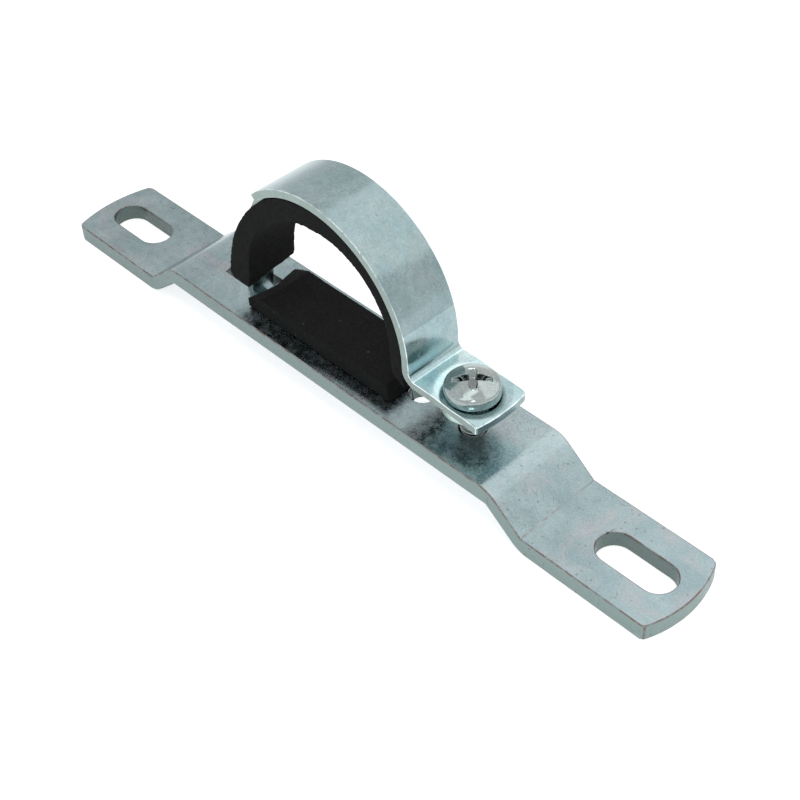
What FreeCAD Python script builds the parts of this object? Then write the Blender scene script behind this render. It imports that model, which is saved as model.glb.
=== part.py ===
import FreeCAD, Part
import math
import os
import Sketcher

# Conduit strap: a joggled steel bar that screws to a wall, a half-round band hooked into it,
# foam rubber on both, and the one screw that closes the band.
# Millimetres. X runs along the bar, Y across it, Z up from the wall face of the two end tabs.

doc = FreeCAD.newDocument("conduit_strap")
sheet = doc.addObject("Spreadsheet::Sheet", "Sizes")

SIZES = [
    # the bar
    ("bar_length", "155.6"),
    ("bar_width", "19"),
    ("bar_thick", "3.5"),
    ("joggle_rise", "6.05"),
    ("left_tab", "26.8"),
    ("right_tab", "28.4"),
    ("ramp_run", "7.5"),
    ("ramp_lap", "0.42"),
    ("bend_inner", "0.6"),
    ("bend_outer", "6"),
    ("left_bulge", "1.6"),
    ("right_bulge", "2.1"),
    ("corner_near", "0.5"),
    ("corner_far", "1.3"),
    ("corner_left", "0.9"),
    ("slot_length", "15.6"),
    ("slot_width", "7"),
    ("slot_spacing", "132.6"),
    ("hook_slot_from", "-35"),
    ("hook_slot_to", "-24.8"),
    ("hook_slot_width", "6.4"),
    ("hook_slot_shift", "0.3"),
    ("spare_hole_at", "17.6"),
    ("screw_at", "30.1"),
    ("thread_hole", "5"),
    # the band
    ("band_width", "12.5"),
    ("band_shift", "0.15"),
    ("band_thick", "1.6"),
    ("arch_at", "-2.2"),
    ("arch_height", "21.2"),
    ("arch_outer", "22.9"),
    ("arch_inner", "=arch_outer - band_thick"),
    ("foot_top", "18.6"),
    ("foot_end", "37.1"),
    ("foot_bend", "0.8"),
    ("foot_corner", "1.2"),
    ("tongue_width", "5.3"),
    ("tongue_from", "132.5"),
    ("tongue_lean", "10"),
    ("hook_inner", "0.6"),
    ("hook_length", "5.2"),
    ("hook_top", "5.9"),
    ("cup_radius", "6.05"),
    ("cup_bottom", "15.2"),
    ("cup_floor", "17"),
    ("dish_radius", "7.6"),
    ("cup_round", "0.8"),
    ("floor_radius", "3.9"),
    ("foot_hole", "5.6"),
    ("cup_lap", "0.5"),
    # the foam
    ("lining_width", "11.5"),
    ("lining_shift", "0.3"),
    ("lining_at", "-0.2"),
    ("lining_crown", "38.5"),
    ("lining_deep", "17.44"),
    ("lining_high", "22.3"),
    ("lining_bottom", "14.6"),
    ("lining_swell_at", "6.2"),
    ("lining_swell_height", "11.3"),
    ("lining_corner", "1"),
    ("lining_near", "14.5"),
    ("lining_far", "16.7"),
    ("lining_left", "-27.8"),
    ("lining_toe", "-22.4"),
    ("lining_start_at", "-21.5"),
    ("lining_start", "18.2"),
    ("lining_stop_at", "16.1"),
    ("lining_stop", "22.3"),
    ("lining_slit", "=tongue_width + 0.8"),
    ("pad_width", "12"),
    ("pad_thick", "3.75"),
    ("pad_toe", "1.5"),
    ("pad_left", "-18.8"),
    ("pad_left_foot", "-23.4"),
    ("pad_right", "14.6"),
    ("pad_right_foot", "15.3"),
    # the screw
    ("shank_radius", "2.45"),
    ("screw_length", "16"),
    ("point_break", "0.7"),
    ("head_radius", "5"),
    ("head_height", "3.7"),
    ("head_seat", "17.8"),
    ("head_under", "4.85"),
    ("head_chamfer", "0.3"),
    ("crown_radius", "8.5"),
    ("crown_blend", "1.4"),
    ("drive_turn", "46"),
    ("drive_slot", "8.6"),
    ("drive_slot_width", "1.3"),
    ("drive_slot_depth", "1.7"),
    ("drive_cross", "5.2"),
    ("drive_cross_width", "1.5"),
    ("drive_cross_depth", "2.7"),
    # how far the cutting shapes reach past what they cut
    ("cut_margin", "5"),
    ("cut_over", "1"),
    ("cut_through", "=4 * foot_top"),
    ("neck_inside", "=0.8 * arch_outer"),
    ("neck_outside", "=1.2 * arch_outer"),
    ("neck_reach", "=1.6 * arch_outer"),
    ("neck_low", "0.5"),
    ("neck_clear", "3"),
    # points worked out from the sizes above
    ("left_end", "=-bar_length / 2"),
    ("right_end", "=bar_length / 2"),
    ("left_foot", "=left_end + left_tab"),
    ("left_head", "=left_foot + ramp_run"),
    ("right_foot", "=right_end - right_tab"),
    ("right_head", "=right_foot - ramp_run"),
    ("bar_top", "=joggle_rise + bar_thick"),
    ("left_shoulder", "=left_end + left_bulge"),
    ("right_shoulder", "=right_end - right_bulge"),
    ("left_round", "=(left_bulge * left_bulge + bar_width * bar_width / 4) / (2 * left_bulge)"),
    ("right_round", "=(right_bulge * right_bulge + bar_width * bar_width / 4) / (2 * right_bulge)"),
    ("leg_outer", "=arch_at + arch_outer"),
    ("leg_inner", "=arch_at + arch_inner"),
    ("bend_at", "=leg_outer + foot_bend"),
    ("bend_height", "=foot_top + foot_bend"),
    ("foot_under", "=foot_top - band_thick"),
    ("lean_cos", "=cos(tongue_lean * 1deg)"),
    ("lean_sin", "=sin(tongue_lean * 1deg)"),
    ("tongue_outer_at", "=arch_at - arch_outer * lean_cos"),
    ("tongue_outer_height", "=arch_height + arch_outer * lean_sin"),
    ("tongue_inner_at", "=arch_at - arch_inner * lean_cos"),
    ("tongue_inner_height", "=arch_height + arch_inner * lean_sin"),
    ("tongue_run", "=(tongue_inner_height - hook_top) / lean_cos"),
    ("hook_start_at", "=tongue_inner_at - tongue_run * lean_sin"),
    ("hook_start_height", "=hook_top"),
    ("hook_back_at", "=hook_start_at - band_thick * lean_cos"),
    ("hook_back_height", "=hook_start_height + band_thick * lean_sin"),
    ("hook_centre_at", "=hook_start_at + hook_inner * lean_cos"),
    ("hook_centre_height", "=hook_start_height - hook_inner * lean_sin"),
    ("hook_turn_at", "=hook_centre_at - hook_inner * lean_sin"),
    ("hook_turn_height", "=hook_centre_height - hook_inner * lean_cos"),
    ("hook_outer", "=hook_inner + band_thick"),
    ("dish_run", "=dish_radius - floor_radius"),
    ("dish_fall", "=foot_top - cup_floor"),
    ("dish_round", "=(dish_run ^ 2 + dish_fall ^ 2) / (2 * dish_fall)"),
    ("hook_low_at", "=hook_centre_at - hook_outer * lean_sin"),
    ("hook_low_height", "=hook_centre_height - hook_outer * lean_cos"),
    ("hook_tip_at", "=hook_turn_at + hook_length * lean_cos"),
    ("hook_tip_height", "=hook_turn_height - hook_length * lean_sin"),
    ("hook_toe_at", "=hook_low_at + hook_length * lean_cos"),
    ("hook_toe_height", "=hook_low_height - hook_length * lean_sin"),
    ("neck_cos", "=cos(tongue_from * 1deg)"),
    ("neck_sin", "=sin(tongue_from * 1deg)"),
    ("tongue_cut", "=(band_width - tongue_width) / 2"),
    ("head_top", "=head_seat + head_height"),
    ("crown_edge", "=head_top - crown_radius + sqrt(crown_radius ^ 2 - head_radius ^ 2)"),
    ("screw_tip", "=head_seat - screw_length"),
]

for row, (alias, value) in enumerate(SIZES, start=1):
    sheet.set("A%d" % row, alias)
    sheet.set("B%d" % row, value)
    sheet.setAlias("B%d" % row, alias)
doc.recompute()


# Lengths that count as nothing and as equal, how far off an edge may lie, and the cosine of parallel.
TOUCH = 1e-6
NEAR = 1e-3
REACH = 0.05
PARALLEL = 0.999


def size(expression):
    """Number a sheet expression stands for."""
    result = sheet.evalExpression(expression)
    return float(getattr(result, "Value", result))


def bound(expression):
    """The same expression as another object has to write it."""
    names = sorted([alias for alias, value in SIZES], key=len, reverse=True)
    out = ""
    word = ""
    for letter in expression + " ":
        if letter.isalnum() or letter == "_":
            word += letter
            continue
        out += "Sizes." + word if word in names else word
        out += letter
        word = ""
    return out.strip()


def new_body(label):
    body = doc.addObject("PartDesign::Body", label)
    body.Label = label
    return body


def origin_plane(body, role):
    for item in body.Origin.OriginFeatures:
        if item.Role == role:
            return item
    raise RuntimeError("no plane " + role)


def new_sketch(body, name, role, offset=None):
    sketch = body.newObject("Sketcher::SketchObject", name)
    sketch.AttachmentSupport = [(origin_plane(body, role), "")]
    sketch.MapMode = "FlatFace"
    if offset is not None:
        sketch.setExpression("AttachmentOffset.Base.z", bound(offset))
    doc.recompute()
    return sketch


def pin_one(sketch, geometry, end, kind, axis, expression):
    """Hold a point of a curve at one bound distance from the sketch origin."""
    value = size(expression)
    if abs(value) < TOUCH:
        sketch.addConstraint(Sketcher.Constraint("PointOnObject", geometry, end, axis))
        return
    index = sketch.addConstraint(Sketcher.Constraint(kind, -1, 1, geometry, end, value))
    sketch.setExpression("Constraints[%d]" % index, bound(expression))


def pin(sketch, geometry, end, across, up):
    pin_one(sketch, geometry, end, "DistanceX", -2, across)
    pin_one(sketch, geometry, end, "DistanceY", -1, up)


def arc_middle(start, stop, near, turn):
    """Centre and crown point of the arc between two points whose centre lies level with near."""
    chord = stop - start
    half = (start + stop) * 0.5
    normal = FreeCAD.Vector(-chord.y, chord.x, 0).normalize()
    if abs(normal.x) > abs(normal.y):
        reach = (near.x - half.x) / normal.x
    else:
        reach = (near.y - half.y) / normal.y
    centre = half + normal * reach
    crown = centre - normal * (turn * (start - centre).Length)
    return centre, crown, abs(normal.x) > abs(normal.y)


def loop(sketch, corners):
    """Closed outline of (x, z) corners; (x, z, centre x, centre z, turn) leaves as an arc."""
    count = len(corners)
    first = sketch.GeometryCount
    spots = [FreeCAD.Vector(size(corner[0]), size(corner[1]), 0) for corner in corners]
    holds = []
    for i in range(count):
        start = spots[i]
        stop = spots[(i + 1) % count]
        if len(corners[i]) == 2:
            sketch.addGeometry(Part.LineSegment(start, stop), False)
            continue
        near = FreeCAD.Vector(size(corners[i][2]), size(corners[i][3]), 0)
        centre, crown, level = arc_middle(start, stop, near, corners[i][4])
        low, high = (start, stop) if corners[i][4] > 0 else (stop, start)
        sketch.addGeometry(Part.Arc(low, crown, high), False)
        holds.append((first + i, centre, level, corners[i][2], corners[i][3]))
    ends = []
    for i in range(count):
        curve = sketch.Geometry[first + i]
        ends.append((1, 2) if (curve.StartPoint - spots[i]).Length < TOUCH else (2, 1))
    for i in range(count):
        after = (i + 1) % count
        join = Sketcher.Constraint("Coincident", first + i, ends[i][1], first + after, ends[after][0])
        sketch.addConstraint(join)
    for i in range(count):
        pin(sketch, first + i, ends[i][0], corners[i][0], corners[i][1])
    for geometry, centre, level, across, up in holds:
        if level:
            pin_one(sketch, geometry, 3, "DistanceX", -2, across)
        else:
            pin_one(sketch, geometry, 3, "DistanceY", -1, up)


def ring(sketch, across, up, diameter):
    """Circle with its centre and diameter bound."""
    centre = FreeCAD.Vector(size(across), size(up), 0)
    index = sketch.addGeometry(Part.Circle(centre, FreeCAD.Vector(0, 0, 1), size(diameter) / 2), False)
    pin(sketch, index, 3, across, up)
    row = sketch.addConstraint(Sketcher.Constraint("Diameter", index, size(diameter)))
    sketch.setExpression("Constraints[%d]" % row, bound(diameter))


def box_loop(sketch, low_x, low_y, high_x, high_y):
    loop(sketch, [(low_x, low_y), (high_x, low_y), (high_x, high_y), (low_x, high_y)])


def pad_both(body, name, sketch, width):
    feature = body.newObject("PartDesign::Pad", name)
    feature.Profile = sketch
    feature.SideType = "Symmetric"
    feature.setExpression("Length", bound(width))
    sketch.Visibility = False
    doc.recompute()
    return feature


def cut_both(body, name, sketch, depth):
    feature = body.newObject("PartDesign::Pocket", name)
    feature.Profile = sketch
    feature.SideType = "Symmetric"
    feature.setExpression("Length", bound(depth))
    sketch.Visibility = False
    doc.recompute()
    return feature


def spin(body, kind, name, sketch):
    """Full turn of a half profile about the sketch's upright axis."""
    feature = body.newObject("PartDesign::" + kind, name)
    feature.Profile = sketch
    feature.ReferenceAxis = (sketch, ["V_Axis"])
    feature.Angle = 360
    sketch.Visibility = False
    doc.recompute()
    return feature


def edges_near(feature, spots, direction):
    """Names of the straight edges along a direction whose middle lies on one of the spots."""
    names = []
    for number, edge in enumerate(feature.Shape.Edges, start=1):
        if len(edge.Vertexes) != 2:
            continue
        run = edge.Vertexes[1].Point - edge.Vertexes[0].Point
        if run.Length < TOUCH or abs(run.normalize().dot(direction)) < PARALLEL:
            continue
        box = edge.BoundBox
        middle = FreeCAD.Vector(box.Center)
        for spot in spots:
            gap = FreeCAD.Vector(spot) - middle
            gap = gap - direction * gap.dot(direction)
            if gap.Length < REACH:
                names.append("Edge%d" % number)
    if len(names) < len(spots):
        raise RuntimeError("edges missing on " + feature.Name)
    return names


def round_edges(body, name, feature, names, radius):
    fillet = body.newObject("PartDesign::Fillet", name)
    fillet.Base = (feature, names)
    fillet.setExpression("Radius", bound(radius))
    doc.recompute()
    return fillet


ACROSS = FreeCAD.Vector(0, 1, 0)
UPRIGHT = FreeCAD.Vector(0, 0, 1)

# ---------------------------------------------------------------- bar
bar = new_body("base_bar")
side = new_sketch(bar, "BarSide", "XZ_Plane")
loop(side, [
    ("left_end", "0"),
    ("left_foot + ramp_lap", "0"),
    ("left_head + ramp_lap", "joggle_rise"),
    ("right_head - ramp_lap", "joggle_rise"),
    ("right_foot - ramp_lap", "0"),
    ("right_end", "0"),
    ("right_end", "bar_thick"),
    ("right_foot", "bar_thick"),
    ("right_head", "bar_top"),
    ("left_head", "bar_top"),
    ("left_foot", "bar_thick"),
    ("left_end", "bar_thick"),
])
blank = pad_both(bar, "BarBlank", side, "bar_width")
outside = [
    (size("left_foot + ramp_lap"), 0, 0),
    (size("right_foot - ramp_lap"), 0, 0),
    (size("left_head"), 0, size("bar_top")),
    (size("right_head"), 0, size("bar_top")),
]
bend_out = round_edges(bar, "BendOuter", blank, edges_near(blank, outside, ACROSS), "bend_outer")
inside = [
    (size("left_head + ramp_lap"), 0, size("joggle_rise")),
    (size("right_head - ramp_lap"), 0, size("joggle_rise")),
    (size("left_foot"), 0, size("bar_thick")),
    (size("right_foot"), 0, size("bar_thick")),
]
bend_in = round_edges(bar, "BendInner", bend_out, edges_near(bend_out, inside, ACROSS), "bend_inner")

plan = new_sketch(bar, "BarPlan", "XY_Plane")
loop(plan, [
    ("left_shoulder", "-bar_width / 2"),
    ("right_shoulder", "-bar_width / 2", "right_end - right_round", "0", 1),
    ("right_shoulder", "bar_width / 2"),
    ("left_shoulder", "bar_width / 2", "left_end + left_round", "0", 1),
])
box_loop(
    plan,
    "left_end - cut_margin",
    "-bar_width / 2 - cut_margin",
    "right_end + cut_margin",
    "bar_width / 2 + cut_margin",
)
ends = cut_both(bar, "BarEnds", plan, "cut_through")
corner_near = edges_near(ends, [(size("right_shoulder"), -size("bar_width / 2"), 0)], UPRIGHT)
near = round_edges(bar, "CornerNear", ends, corner_near, "corner_near")
corner_far = edges_near(near, [(size("right_shoulder"), size("bar_width / 2"), 0)], UPRIGHT)
far = round_edges(bar, "CornerFar", near, corner_far, "corner_far")
corner_left = edges_near(far, [
    (size("left_shoulder"), -size("bar_width / 2"), 0),
    (size("left_shoulder"), size("bar_width / 2"), 0),
], UPRIGHT)
left = round_edges(bar, "CornerLeft", far, corner_left, "corner_left")

holes = new_sketch(bar, "BarHoles", "XY_Plane")
for sign in ("-", ""):
    centre = sign + "slot_spacing / 2"
    straight = "(slot_length - slot_width) / 2"
    loop(holes, [
        (centre + " - " + straight, "-slot_width / 2"),
        (centre + " + " + straight, "-slot_width / 2", centre + " + " + straight, "0", 1),
        (centre + " + " + straight, "slot_width / 2"),
        (centre + " - " + straight, "slot_width / 2", centre + " - " + straight, "0", 1),
    ])
box_loop(
    holes,
    "hook_slot_from",
    "hook_slot_shift - hook_slot_width / 2",
    "hook_slot_to",
    "hook_slot_shift + hook_slot_width / 2",
)
ring(holes, "spare_hole_at", "0", "thread_hole")
ring(holes, "screw_at", "0", "thread_hole")
cut_both(bar, "BarPiercing", holes, "cut_through")

# ---------------------------------------------------------------- band
band = new_body("clamp_band")
arc = new_sketch(band, "BandSide", "XZ_Plane", "-band_shift")
loop(arc, [
    ("foot_end", "foot_top"),
    ("bend_at", "foot_top", "bend_at", "bend_height", -1),
    ("leg_outer", "bend_height"),
    ("leg_outer", "arch_height", "arch_at", "arch_height", 1),
    ("tongue_outer_at", "tongue_outer_height"),
    ("hook_back_at", "hook_back_height", "hook_centre_at", "hook_centre_height", 1),
    ("hook_low_at", "hook_low_height"),
    ("hook_toe_at", "hook_toe_height"),
    ("hook_tip_at", "hook_tip_height"),
    ("hook_turn_at", "hook_turn_height", "hook_centre_at", "hook_centre_height", -1),
    ("hook_start_at", "hook_start_height"),
    ("tongue_inner_at", "tongue_inner_height", "arch_at", "arch_height", -1),
    ("leg_inner", "arch_height"),
    ("leg_inner", "bend_height", "bend_at", "bend_height", 1),
    ("bend_at", "foot_under"),
    ("foot_end", "foot_under"),
])
strip = pad_both(band, "BandStrip", arc, "band_width")

for name, offset in (
    ("NeckNear", "band_width / 2 - tongue_cut - band_shift"),
    ("NeckFar", "-band_width / 2 - band_shift"),
):
    neck = new_sketch(band, name, "XZ_Plane", offset)
    loop(neck, [
        ("arch_at + neck_inside * neck_cos", "arch_height + neck_inside * neck_sin"),
        ("arch_at + neck_outside * neck_cos", "arch_height + neck_outside * neck_sin"),
        ("arch_at - neck_reach", "arch_height + neck_outside * neck_sin"),
        ("arch_at - neck_reach", "neck_low"),
        ("hook_toe_at + neck_clear", "neck_low"),
        ("hook_toe_at + neck_clear", "arch_height - neck_inside / 2"),
    ])
    neck_cut = band.newObject("PartDesign::Pocket", name + "Cut")
    neck_cut.Profile = neck
    neck_cut.setExpression("Length", bound("tongue_cut"))
    neck_cut.Reversed = True
    neck.Visibility = False
    doc.recompute()

cup = new_sketch(band, "CupWall", "XZ_Plane")
cup.setExpression("AttachmentOffset.Base.x", bound("screw_at"))
doc.recompute()
loop(cup, [
    ("0", "cup_bottom"),
    ("cup_radius - cup_round", "cup_bottom", "cup_radius - cup_round", "cup_bottom + cup_round", 1),
    ("cup_radius", "cup_bottom + cup_round"),
    ("cup_radius", "foot_under + cup_lap"),
    ("0", "foot_under + cup_lap"),
])
spin(band, "Revolution", "CupFormed", cup)

dish = new_sketch(band, "CupDish", "XZ_Plane")
dish.setExpression("AttachmentOffset.Base.x", bound("screw_at"))
doc.recompute()
loop(dish, [
    ("0", "cup_floor"),
    ("floor_radius", "cup_floor", "dish_radius", "foot_top - dish_round", -1),
    ("dish_radius", "foot_top"),
    ("dish_radius", "foot_top + cut_over"),
    ("0", "foot_top + cut_over"),
])
spin(band, "Groove", "CupSunk", dish)

bore = new_sketch(band, "FootHole", "XY_Plane")
ring(bore, "screw_at", "0", "foot_hole")
bored = cut_both(band, "FootBored", bore, "cut_through")

toes = edges_near(bored, [
    (size("foot_end"), size("band_shift - band_width / 2"), 0),
    (size("foot_end"), size("band_shift + band_width / 2"), 0),
], UPRIGHT)
round_edges(band, "FootCorners", bored, toes, "foot_corner")

# ---------------------------------------------------------------- foam
lining = new_body("arch_lining")
wrap = new_sketch(lining, "LiningSide", "XZ_Plane", "lining_shift")
neck_at = "arch_at + arch_inner * neck_cos"
neck_up = "arch_height + arch_inner * neck_sin"
loop(wrap, [
    ("leg_inner", "arch_height", "arch_at", "arch_height", 1),
    (neck_at, neck_up, "lining_swell_at", "lining_swell_height", 1),
    ("lining_left", "lining_bottom + lining_corner"),
    ("lining_left + lining_corner", "lining_bottom"),
    ("lining_toe", "lining_bottom"),
    ("lining_start_at", "lining_start", "lining_at", "lining_deep", -1),
    ("lining_at", "lining_crown", "lining_at", "lining_high", -1),
    ("lining_stop_at", "lining_stop"),
])
wrapped = pad_both(lining, "LiningStrip", wrap, "lining_width")
notch = new_sketch(lining, "TongueRoom", "XZ_Plane")
loop(notch, [
    (neck_at, neck_up, "arch_at", "arch_height", 1),
    ("tongue_inner_at", "tongue_inner_height"),
    ("hook_start_at", "hook_top"),
    ("left_end / 2", "hook_top"),
    ("left_end / 2", neck_up),
])
cut_both(lining, "TongueRoomCut", notch, "lining_slit")
slant = new_sketch(lining, "LiningSlant", "YZ_Plane")
loop(slant, [
    ("-lining_width", "hook_top"),
    ("lining_width", "hook_top"),
    ("lining_width", "lining_far + (lining_far - lining_near) / 2"),
    ("-lining_width", "lining_near - (lining_far - lining_near) / 2"),
])
cut_both(lining, "LiningSlantCut", slant, "bar_length")

pad = new_body("base_pad")
slab = new_sketch(pad, "PadSide", "XZ_Plane")
loop(slab, [
    ("pad_left_foot", "bar_top"),
    ("pad_right_foot", "bar_top"),
    ("pad_right", "bar_top + pad_thick"),
    ("pad_left", "bar_top + pad_thick"),
    ("pad_left_foot", "bar_top + pad_toe"),
])
pad_both(pad, "PadSlab", slab, "pad_width")

# ---------------------------------------------------------------- screw
screw = new_body("clamp_screw")
screw.setExpression("Placement.Base.x", bound("screw_at"))
turned = new_sketch(screw, "ScrewHalf", "XZ_Plane")
loop(turned, [
    ("0", "screw_tip"),
    ("shank_radius - point_break", "screw_tip"),
    ("shank_radius", "screw_tip + point_break"),
    ("shank_radius", "head_seat"),
    ("head_under", "head_seat"),
    ("head_radius", "head_seat + head_chamfer"),
    ("head_radius", "crown_edge", "0", "head_top - crown_radius", 1),
    ("0", "head_top"),
])
solid = spin(screw, "Revolution", "ScrewTurned", turned)
rim = []
for number, edge in enumerate(solid.Shape.Edges, start=1):
    box = edge.BoundBox
    flat = box.ZLength < TOUCH and abs(box.ZMax - size("crown_edge")) < NEAR
    if flat and abs(box.YLength - 2 * size("head_radius")) < NEAR:
        rim.append("Edge%d" % number)
blended = round_edges(screw, "CrownBlend", solid, rim, "crown_blend")

for name, length, width, depth in (
    ("DriveSlot", "drive_slot", "drive_slot_width", "drive_slot_depth"),
    ("DriveCross", "drive_cross", "drive_cross_width", "drive_cross_depth"),
    ("DriveArm", "drive_cross_width", "drive_cross", "drive_cross_depth"),
):
    recess = new_sketch(screw, name, "XY_Plane", "head_top + cut_over")
    recess.setExpression("AttachmentOffset.Rotation.Angle", bound("drive_turn"))
    doc.recompute()
    half = length + " / 2"
    wide = width + " / 2"
    box_loop(recess, "-" + half, "-" + wide, half, wide)
    sunk = screw.newObject("PartDesign::Pocket", name + "Cut")
    sunk.Profile = recess
    sunk.setExpression("Length", bound(depth + " + cut_over"))
    recess.Visibility = False
    doc.recompute()

# ---------------------------------------------------------------- checks and files
doc.recompute()
NODES = [bar, band, lining, pad, screw]
for item in doc.Objects:
    wrong = [word for word in item.State if word in ("Invalid", "Error")]
    if wrong:
        raise RuntimeError("%s: %s" % (item.Label, wrong))
os.makedirs("parts", exist_ok=True)
for node in NODES:
    shape = node.Shape
    if shape.isNull() or not shape.isValid() or len(shape.Solids) != 1:
        raise RuntimeError("bad shape in " + node.Label)
    shape.exportStep("parts/" + node.Label + ".step")
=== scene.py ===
import math

import bmesh
import bpy
from mathutils import Matrix, Vector, noise


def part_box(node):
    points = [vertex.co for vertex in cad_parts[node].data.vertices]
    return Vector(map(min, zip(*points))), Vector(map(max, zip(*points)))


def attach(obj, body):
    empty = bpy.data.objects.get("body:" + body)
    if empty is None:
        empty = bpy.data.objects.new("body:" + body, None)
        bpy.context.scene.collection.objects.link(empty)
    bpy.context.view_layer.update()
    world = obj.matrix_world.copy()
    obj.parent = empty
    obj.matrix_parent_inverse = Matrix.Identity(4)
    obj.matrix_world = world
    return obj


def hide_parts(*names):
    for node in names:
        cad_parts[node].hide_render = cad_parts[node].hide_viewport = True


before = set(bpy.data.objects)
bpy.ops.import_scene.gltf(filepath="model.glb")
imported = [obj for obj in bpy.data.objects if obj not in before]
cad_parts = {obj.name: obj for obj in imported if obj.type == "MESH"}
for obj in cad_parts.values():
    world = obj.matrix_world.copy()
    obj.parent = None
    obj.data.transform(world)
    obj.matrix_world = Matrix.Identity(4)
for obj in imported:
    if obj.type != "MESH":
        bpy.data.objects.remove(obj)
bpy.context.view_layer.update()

# ---------------------------------------------------------------- sizes, in metres
MM = 0.001
BAR_LOW, BAR_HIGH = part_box("base_bar")
BAND_LOW, BAND_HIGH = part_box("clamp_band")
LINING_LOW, LINING_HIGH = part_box("arch_lining")
PAD_LOW, PAD_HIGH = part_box("base_pad")
SCREW_LOW, SCREW_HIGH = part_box("clamp_screw")

# the bar, a flat strip with a raised middle
BAR_THICK = 3.5 * MM
BAR_HALF = 0.988 * BAR_HIGH.y
LEFT_TAB = 26.8 * MM
RIGHT_TAB = 28.15 * MM
RAMP_RUN = 7.5 * MM
RAMP_LAP = 0.42 * MM
BEND_INNER = 0.6 * MM
BEND_OUTER = 6 * MM
CREASE = 0.45 * MM
# painted shade in the right crease: how far it reaches and how strongly it takes the edge colour
CREASE_REACH = 0.4 * MM
CREASE_PAINTED_SHADE = 0.6
LEFT_BULGE = 1.6 * MM
RIGHT_BULGE = 2.1 * MM
SLOT_SPACING = 133.1 * MM
SLOT_SHIFT = 0.15 * MM
SLOT_LENGTH = 15.6 * MM
SLOT_WIDTH = 7 * MM
HOOK_SLOT_FROM = -35 * MM
HOOK_SLOT_TO = -24.8 * MM
HOOK_SLOT_WIDTH = 5.7 * MM
HOOK_SLOT_SHIFT = 0.65 * MM
SPARE_HOLE_AT = 17.6 * MM
THREAD_HOLE = 5 * MM
TAB_CORNER = 0.9 * MM
NEAR_CORNER = 0.5 * MM
BAR_RUNS = [30, 6, 84, 6, 30]
BAR_BEND_STEPS = 8
BAR_COLUMNS = 8
BAR_EVEN = 0.84
BAR_RIM = [0.91, 0.965, 1]
BAR_ROUND = 0.22 * MM
BAR_ROUND_FROM = 35
# painted shade on the walls of the slots, holes and window: its tone factor and how far across the middle it
# reaches
WALL_PAINTED_SHADE = 0.62
WALL_REACH = 0.6 * SLOT_WIDTH
# painted shade that darkens the bar towards its left end, with a little painted light at the right: (x, x,
# factor, factor)
BAR_PAINTED_FADE = (-0.06, 0.025, 0.83, 1.02)

# the band, a strip 1.6 mm thick that runs foot, leg, arch, tongue and hook
STRIP = 1.6 * MM
BAND_HALF = 0.976 * (BAND_HIGH.y - BAND_LOW.y) / 2
BAND_SHIFT = (BAND_HIGH.y + BAND_LOW.y) / 2
FOOT_TOP = 18.4 * MM
FOOT_BEND = 1.4 * MM
FOOT_CORNER = 0.6 * MM
FOOT_BULGE = 0.6 * MM
FOOT_SAG = 0.75 * MM
NEAR_CORNER_SHARE = 0.4
FOOT_LONG = 15 * MM
BAND_ROUND = 0.13 * MM
BAND_ROUND_FROM = 42
# painted light: tone factors that brighten the foot's top (towards the leg, at the foot's end), its
# underside, its cup, and the leg below the given height
FOOT_PAINTED_LIGHT = (2.2, 1.4)
UNDER_PAINTED_LIGHT = 3.1
CUP_PAINTED_LIGHT = 2.0
LEG_PAINTED_LIGHT = 1.3
LEG_PAINTED_LIGHT_BELOW = 27 * MM
ARCH_CENTRE = Vector((-2.6 * MM, 0, 21.0 * MM))
ARCH_OUTER = BAND_HIGH.z - ARCH_CENTRE.z
TONGUE_FROM = 132.5
TONGUE_LEAN = 10.0
TONGUE_HALF = 2.65 * MM
TONGUE_RUN = 19.29 * MM
HOOK_BEND = 0.6 * MM
HOOK_RUN = 5.2 * MM

# the dished seat in its foot
SCREW_AT = (SCREW_LOW.x + SCREW_HIGH.x) / 2 - 0.2 * MM
DISH_RADIUS = 7.2 * MM
DISH_FLOOR = 3.9 * MM
DISH_DEEP = 1.2 * MM
CUP_DEEP = 1.9 * MM
CUP_FLAT = 4.2 * MM
CUP_RADIUS = 5.4 * MM
CUP_WALL = 5.7 * MM
CUP_ROUND = 0.7 * MM
CUP_CURVE = 2.6
CUP_BORE = 5 * MM
CUP_RIM = 5.3 * MM
CUP_LAP = 0.3 * MM
CUP_THICK = 0.8 * MM
FOOT_HOLE = 2.8 * MM

# the foam: where the CAD arch stands, how this one is drawn from it, and the pad's torn end
ARCH_DRAWN = Vector((-2.2 * MM, 0, 21.2 * MM))
ARCH_GROWTH = 1.009
ARCH_SLIM = 0.98
ARCH_ASIDE = 0.25 * MM
HANG_FROM = 26 * MM
HANG = 6 * MM
TEAR = 3.6 * MM
TEAR_LONG = 9 * MM
TEAR_HOLLOW = 2.6
TEAR_BELOW = 1.6
TEAR_RISE = 0.25 * MM
FOAM_CELL = 0.35 * MM
FOAM_ROUGH = 0.12 * MM
FOAM_SLOW = 6 * MM
FOAM_QUICK = 0.7 * MM

# the screw
HEAD_RADIUS = SCREW_HIGH.y
HEAD_TOP = SCREW_HIGH.z - 0.2 * MM
HEAD_SEAT = 17.6 * MM
CROWN_RADIUS = 8.5 * MM
DRIVE_TURN = math.radians(46)
# painted shade in the drive recess, at its deepest
RECESS_PAINTED_SHADE = 0.35
THREAD_CREST = 2.45 * MM
THREAD_ROOT = 2.06 * MM
THREAD_PITCH = 0.8 * MM
THREAD_END = 0.7 * MM
THREAD_SHORT = 2.2 * MM
# painted shade on the thread below the foot
THREAD_PAINTED_SHADE = 0.8
HEAD_ROUND = 0.08 * MM
HEAD_ROUND_FROM = 35
CROWN_STEPS = 12
CROWN_RIM = 0.7 * MM
RECESS_RIM = 0.6 * MM
RECESS_DEEP = 1.2 * MM
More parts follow.
